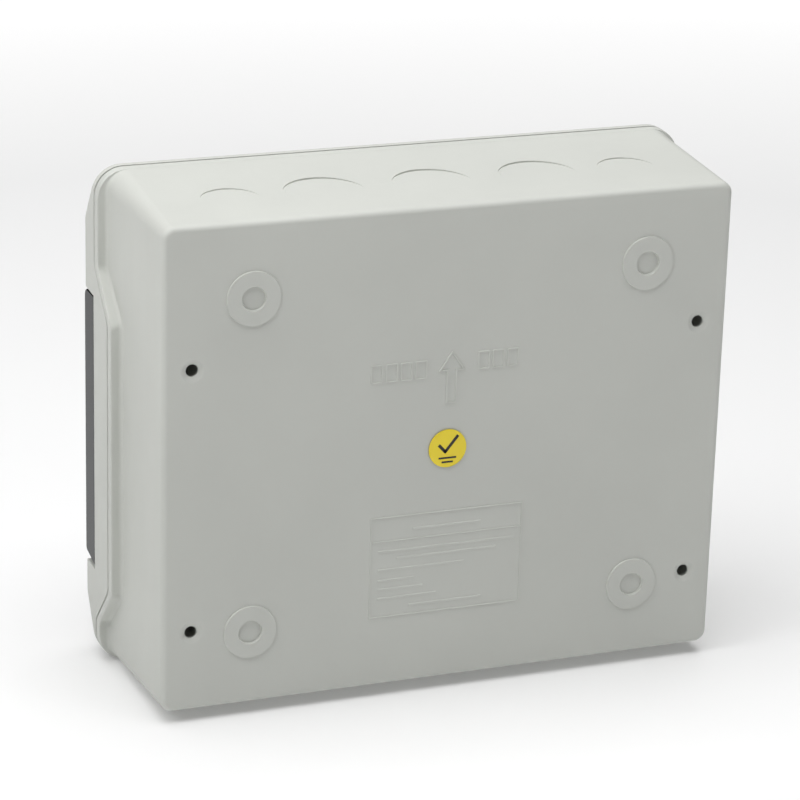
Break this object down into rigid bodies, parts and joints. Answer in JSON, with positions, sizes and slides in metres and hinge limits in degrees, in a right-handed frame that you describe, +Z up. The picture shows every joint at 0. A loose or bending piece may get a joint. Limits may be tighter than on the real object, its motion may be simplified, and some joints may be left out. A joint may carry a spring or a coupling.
{
  "type": "dc combiner box",
  "caption": "Wall-mounted plastic DC combiner box with smoked flip-up window, tilting fuse holders, plug-in surge arrester, breaker and removable cover.",
  "frame": {"origin": "under the middle of the box, at the height of the flange's lower edge", "axes": "+X to the right in the front view, +Y to the wall behind the box (front faces -Y), +Z up"},
  "size_m": [0.2584, 0.0908, 0.2159],
  "materials": {
    "rear_housing": "light grey moulded polycarbonate, fine satin texture",
    "front_cover": "light grey moulded polycarbonate, fine satin texture",
    "blanking_strip": "light grey moulded polycarbonate, fine satin texture",
    "window_door": "smoked polycarbonate, glossy",
    "round_sticker": "printed film",
    "cover_gasket": "soft cellular rubber",
    "hinge_pin_left": "zinc plated steel",
    "hinge_pin_right": "zinc plated steel",
    "din_rail": "zinc plated steel",
    "rail_screw_left": "zinc plated steel",
    "rail_screw_right": "zinc plated steel",
    "cover_screw_top_left": "zinc plated steel",
    "cover_screw_top_right": "zinc plated steel",
    "cover_screw_bottom_left": "zinc plated steel",
    "cover_screw_bottom_right": "zinc plated steel",
    "fuse_base_1": "off-white thermoplastic",
    "fuse_base_2": "off-white thermoplastic",
    "fuse_base_3": "off-white thermoplastic",
    "fuse_base_4": "off-white thermoplastic",
    "fuse_carrier_1": "off-white thermoplastic",
    "fuse_carrier_2": "off-white thermoplastic",
    "fuse_carrier_3": "off-white thermoplastic",
    "fuse_carrier_4": "off-white thermoplastic",
    "breaker_body": "off-white thermoplastic",
    "fuse_link_1": "glazed ceramic tube",
    "fuse_link_2": "glazed ceramic tube",
    "fuse_link_3": "glazed ceramic tube",
    "fuse_link_4": "glazed ceramic tube",
    "spd_base": "dark thermoplastic",
    "breaker_toggle": "dark thermoplastic",
    "breaker_rail_clip": "dark thermoplastic",
    "spd_rail_clip": "dark thermoplastic",
    "fuse_rail_clip_1": "dark thermoplastic",
    "fuse_rail_clip_2": "dark thermoplastic",
    "fuse_rail_clip_3": "dark thermoplastic",
    "fuse_rail_clip_4": "dark thermoplastic",
    "spd_cartridge_1": "red thermoplastic",
    "spd_cartridge_2": "red thermoplastic",
    "spd_cartridge_3": "red thermoplastic",
    "busbar_positive": "copper",
    "busbar_negative": "copper",
    "earth_bar": "machined brass",
    "earth_bar_screw_1": "machined brass",
    "earth_bar_screw_2": "machined brass",
    "earth_bar_screw_3": "machined brass",
    "earth_bar_screw_4": "machined brass",
    "earth_bar_holder_left": "green thermoplastic",
    "earth_bar_holder_right": "green thermoplastic",
    "wire_fuses_to_breaker_positive": "cable sheath",
    "wire_fuses_to_spd_positive": "cable sheath",
    "wire_fuses_to_breaker_negative": "cable sheath",
    "wire_fuses_to_spd_negative": "cable sheath",
    "wire_spd_to_earth_bar": "cable sheath"
  },
  "bodies": {
    "housing": {"rear_housing": "rear_housing", "cover_gasket": "cover_gasket", "round_sticker": "round_sticker", "din_rail": "din_rail", "busbar_positive": "busbar_positive", "busbar_negative": "busbar_negative", "earth_bar": "earth_bar", "earth_bar_holder_left": "earth_bar_holder_left", "earth_bar_holder_right": "earth_bar_holder_right", "fuse_base_1": "fuse_base_1", "fuse_base_2": "fuse_base_2", "fuse_base_3": "fuse_base_3", "fuse_base_4": "fuse_base_4", "spd_base": "spd_base", "breaker_body": "breaker_body", "wire_fuses_to_breaker_positive": "wire_fuses_to_breaker_positive", "wire_fuses_to_spd_positive": "wire_fuses_to_spd_positive", "wire_fuses_to_breaker_negative": "wire_fuses_to_breaker_negative", "wire_fuses_to_spd_negative": "wire_fuses_to_spd_negative", "wire_spd_to_earth_bar": "wire_spd_to_earth_bar"},
    "cover": {"front_cover": "front_cover", "hinge_pin_left": "hinge_pin_left", "hinge_pin_right": "hinge_pin_right", "blanking_strip": "blanking_strip"},
    "door": {"window_door": "window_door"},
    "cover_screw_top_left": {"cover_screw_top_left": "cover_screw_top_left"},
    "cover_screw_top_right": {"cover_screw_top_right": "cover_screw_top_right"},
    "cover_screw_bottom_left": {"cover_screw_bottom_left": "cover_screw_bottom_left"},
    "cover_screw_bottom_right": {"cover_screw_bottom_right": "cover_screw_bottom_right"},
    "fuse_carrier_1": {"fuse_carrier_1": "fuse_carrier_1", "fuse_link_1": "fuse_link_1"},
    "fuse_carrier_2": {"fuse_carrier_2": "fuse_carrier_2", "fuse_link_2": "fuse_link_2"},
    "fuse_carrier_3": {"fuse_carrier_3": "fuse_carrier_3", "fuse_link_3": "fuse_link_3"},
    "fuse_carrier_4": {"fuse_carrier_4": "fuse_carrier_4", "fuse_link_4": "fuse_link_4"},
    "spd_cartridge_1": {"spd_cartridge_1": "spd_cartridge_1"},
    "spd_cartridge_2": {"spd_cartridge_2": "spd_cartridge_2"},
    "spd_cartridge_3": {"spd_cartridge_3": "spd_cartridge_3"},
    "breaker_toggle": {"breaker_toggle": "breaker_toggle"},
    "fuse_rail_clip_1": {"fuse_rail_clip_1": "fuse_rail_clip_1"},
    "fuse_rail_clip_2": {"fuse_rail_clip_2": "fuse_rail_clip_2"},
    "fuse_rail_clip_3": {"fuse_rail_clip_3": "fuse_rail_clip_3"},
    "fuse_rail_clip_4": {"fuse_rail_clip_4": "fuse_rail_clip_4"},
    "spd_rail_clip": {"spd_rail_clip": "spd_rail_clip"},
    "breaker_rail_clip": {"breaker_rail_clip": "breaker_rail_clip"},
    "earth_bar_screw_1": {"earth_bar_screw_1": "earth_bar_screw_1"},
    "earth_bar_screw_2": {"earth_bar_screw_2": "earth_bar_screw_2"},
    "earth_bar_screw_3": {"earth_bar_screw_3": "earth_bar_screw_3"},
    "earth_bar_screw_4": {"earth_bar_screw_4": "earth_bar_screw_4"},
    "rail_screw_left": {"rail_screw_left": "rail_screw_left"},
    "rail_screw_right": {"rail_screw_right": "rail_screw_right"}
  },
  "joints": [
    {"name": "cover_lift_off", "type": "slide", "parent": "housing", "child": "cover", "axis": [0, -1, 0], "range_m": [0, 0.06]},
    {"name": "door_swing", "type": "hinge", "parent": "cover", "child": "door", "pos_m": [0, -0.0408, 0.15635], "axis": [-1, 0, 0], "range_deg": [0, 95]},
    {"name": "cover_screw_top_left_turn", "type": "hinge", "parent": "cover", "child": "cover_screw_top_left", "pos_m": [-0.113, -0.0354, 0.18745], "axis": [0, -1, 0], "continuous": true},
    {"name": "cover_screw_top_right_turn", "type": "hinge", "parent": "cover", "child": "cover_screw_top_right", "pos_m": [0.113, -0.0354, 0.18745], "axis": [0, -1, 0], "continuous": true},
    {"name": "cover_screw_bottom_left_turn", "type": "hinge", "parent": "cover", "child": "cover_screw_bottom_left", "pos_m": [-0.113, -0.0354, 0.02845], "axis": [0, -1, 0], "continuous": true},
    {"name": "cover_screw_bottom_right_turn", "type": "hinge", "parent": "cover", "child": "cover_screw_bottom_right", "pos_m": [0.113, -0.0354, 0.02845], "axis": [0, -1, 0], "continuous": true},
    {"name": "fuse_carrier_1_tilt", "type": "hinge", "parent": "housing", "child": "fuse_carrier_1", "pos_m": [-0.0979, -0.0214, 0.0816], "axis": [1, 0, 0], "range_deg": [0, 16]},
    {"name": "fuse_carrier_2_tilt", "type": "hinge", "parent": "housing", "child": "fuse_carrier_2", "pos_m": [-0.0801, -0.0214, 0.0816], "axis": [1, 0, 0], "range_deg": [0, 16]},
    {"name": "fuse_carrier_3_tilt", "type": "hinge", "parent": "housing", "child": "fuse_carrier_3", "pos_m": [-0.0623, -0.0214, 0.0816], "axis": [1, 0, 0], "range_deg": [0, 16]},
    {"name": "fuse_carrier_4_tilt", "type": "hinge", "parent": "housing", "child": "fuse_carrier_4", "pos_m": [-0.0445, -0.0214, 0.0816], "axis": [1, 0, 0], "range_deg": [0, 16]},
    {"name": "spd_cartridge_1_pull", "type": "slide", "parent": "housing", "child": "spd_cartridge_1", "axis": [0, -1, 0], "range_m": [0, 0.012]},
    {"name": "spd_cartridge_2_pull", "type": "slide", "parent": "housing", "child": "spd_cartridge_2", "axis": [0, -1, 0], "range_m": [0, 0.012]},
    {"name": "spd_cartridge_3_pull", "type": "slide", "parent": "housing", "child": "spd_cartridge_3", "axis": [0, -1, 0], "range_m": [0, 0.012]},
    {"name": "breaker_toggle_throw", "type": "hinge", "parent": "housing", "child": "breaker_toggle", "pos_m": [0.0356, -0.0214, 0.1006], "axis": [-1, 0, 0], "range_deg": [0, 80]},
    {"name": "fuse_rail_clip_1_release", "type": "slide", "parent": "housing", "child": "fuse_rail_clip_1", "axis": [0, 0, -1], "range_m": [0, 0.004], "stiffness_N_per_m": 500},
    {"name": "fuse_rail_clip_2_release", "type": "slide", "parent": "housing", "child": "fuse_rail_clip_2", "axis": [0, 0, -1], "range_m": [0, 0.004], "stiffness_N_per_m": 500},
    {"name": "fuse_rail_clip_3_release", "type": "slide", "parent": "housing", "child": "fuse_rail_clip_3", "axis": [0, 0, -1], "range_m": [0, 0.004], "stiffness_N_per_m": 500},
    {"name": "fuse_rail_clip_4_release", "type": "slide", "parent": "housing", "child": "fuse_rail_clip_4", "axis": [0, 0, -1], "range_m": [0, 0.004], "stiffness_N_per_m": 500},
    {"name": "spd_rail_clip_release", "type": "slide", "parent": "housing", "child": "spd_rail_clip", "axis": [0, 0, -1], "range_m": [0, 0.004], "stiffness_N_per_m": 500},
    {"name": "breaker_rail_clip_release", "type": "slide", "parent": "housing", "child": "breaker_rail_clip", "axis": [0, 0, -1], "range_m": [0, 0.004], "stiffness_N_per_m": 500},
    {"name": "earth_bar_screw_1_turn", "type": "hinge", "parent": "housing", "child": "earth_bar_screw_1", "pos_m": [-0.08, 0.0196, 0.02395], "axis": [0, -1, 0], "continuous": true},
    {"name": "earth_bar_screw_2_turn", "type": "hinge", "parent": "housing", "child": "earth_bar_screw_2", "pos_m": [-0.0675, 0.0196, 0.02395], "axis": [0, -1, 0], "continuous": true},
    {"name": "earth_bar_screw_3_turn", "type": "hinge", "parent": "housing", "child": "earth_bar_screw_3", "pos_m": [-0.055, 0.0196, 0.02395], "axis": [0, -1, 0], "continuous": true},
    {"name": "earth_bar_screw_4_turn", "type": "hinge", "parent": "housing", "child": "earth_bar_screw_4", "pos_m": [-0.0425, 0.0196, 0.02395], "axis": [0, -1, 0], "continuous": true},
    {"name": "rail_screw_left_turn", "type": "hinge", "parent": "housing", "child": "rail_screw_left", "pos_m": [-0.095, 0.0346, 0.1006], "axis": [0, -1, 0], "continuous": true},
    {"name": "rail_screw_right_turn", "type": "hinge", "parent": "housing", "child": "rail_screw_right", "pos_m": [0.095, 0.0346, 0.1006], "axis": [0, -1, 0], "continuous": true}
  ]
}
